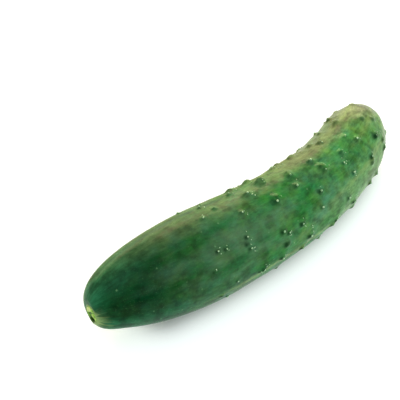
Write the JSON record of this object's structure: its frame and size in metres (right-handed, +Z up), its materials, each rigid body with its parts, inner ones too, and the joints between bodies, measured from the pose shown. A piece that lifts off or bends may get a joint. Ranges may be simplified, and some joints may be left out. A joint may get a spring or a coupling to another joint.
{
  "type": "cucumber",
  "caption": "Whole slicing cucumber as picked, bowed and tapering, with warty skin, a torn stalk scar and a small blossom scar, lying on its side.",
  "frame": {"origin": "on the surface that the cucumber lies on, under the middle of its box", "axes": "+X from the stem end to the blossom end, +Y towards the inside of the bend, +Z up"},
  "size_m": [0.2246, 0.0619, 0.0517],
  "materials": {
    "skin": "smooth waxy vegetable skin, satin, dark bluish green at the stem end and mid green at the blossom end",
    "spines": "small pale broken spine tips on the warts",
    "scar_flesh": "torn pale yellow-green stalk tissue, slightly moist",
    "cork": "dry tan corky scar tissue, matt"
  },
  "bodies": {
    "root": {"cucumber": "skin"}
  },
  "joints": []
}
